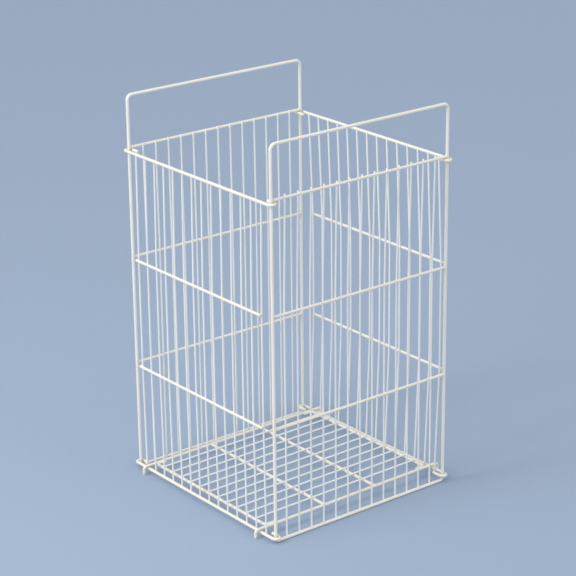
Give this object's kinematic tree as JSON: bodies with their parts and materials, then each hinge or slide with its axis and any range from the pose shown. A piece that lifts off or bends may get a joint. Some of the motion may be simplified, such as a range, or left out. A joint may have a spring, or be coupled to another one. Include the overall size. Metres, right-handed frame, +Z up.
{
  "type": "wire dump bin",
  "caption": "Square collapsible wire bin with two raised handle frames, side panels hinged on eyes round the uprights, and a lifting wire floor flap.",
  "frame": {"origin": "middle of the footprint, on the surface that the bin stands on", "axes": "+Z up, -Y towards the front handle frame, +X towards the panel that the floor flap is looped on"},
  "size_m": [0.4428, 0.439, 0.7397],
  "materials": {
    "frame_wire_coat": "satin dipped plastic coating over steel wire",
    "rail_wire_coat": "satin dipped plastic coating over steel wire",
    "fill_wire_coat": "satin dipped plastic coating over steel wire",
    "floor_wire_coat": "satin dipped plastic coating over steel wire"
  },
  "bodies": {
    "back_panel": {"back_fill_wires": "fill_wire_coat", "back_handle_frame": "frame_wire_coat", "back_lower_rail": "rail_wire_coat", "back_rim_rail": "rail_wire_coat", "back_upper_rail": "rail_wire_coat"},
    "left_panel": {"left_bottom_rail": "rail_wire_coat", "left_fill_wires": "fill_wire_coat", "left_lower_rail": "rail_wire_coat", "left_top_rail": "rail_wire_coat", "left_upper_rail": "rail_wire_coat"},
    "right_panel": {"right_bottom_rail": "rail_wire_coat", "right_fill_wires": "fill_wire_coat", "right_lower_rail": "rail_wire_coat", "right_top_rail": "rail_wire_coat", "right_upper_rail": "rail_wire_coat"},
    "front_panel": {"front_fill_wires": "fill_wire_coat", "front_handle_frame": "frame_wire_coat", "front_lower_rail": "rail_wire_coat", "front_rim_rail": "rail_wire_coat", "front_upper_rail": "rail_wire_coat"},
    "floor_flap": {"floor_back_side_wire": "floor_wire_coat", "floor_fill_wires": "fill_wire_coat", "floor_front_side_wire": "floor_wire_coat", "floor_left_cross_wire": "floor_wire_coat", "floor_left_end_wire": "floor_wire_coat", "floor_right_cross_wire": "floor_wire_coat", "floor_right_end_wire": "floor_wire_coat"}
  },
  "joints": [
    {"name": "left_panel_hinge", "type": "hinge", "parent": "back_panel", "child": "left_panel", "pos_m": [-0.2, 0.21, 0.32], "axis": [0, 0, 1], "range_deg": [-0.6, 0.6]},
    {"name": "right_panel_hinge", "type": "hinge", "parent": "back_panel", "child": "right_panel", "pos_m": [0.2, 0.21, 0.32], "axis": [0, 0, 1], "range_deg": [-0.6, 0.6]},
    {"name": "front_panel_hinge", "type": "hinge", "parent": "left_panel", "child": "front_panel", "pos_m": [-0.2, -0.21, 0.32], "axis": [0, 0, 1], "range_deg": [-0.6, 0.6]},
    {"name": "floor_lift", "type": "hinge", "parent": "right_panel", "child": "floor_flap", "pos_m": [0.20665, 0, 0.0132], "axis": [0, 1, 0], "range_deg": [0, 35]}
  ],
  "couplings": [
    {"joint": "right_panel_hinge", "follows": "left_panel_hinge", "ratio": 1},
    {"joint": "front_panel_hinge", "follows": "left_panel_hinge", "ratio": -1}
  ]
}
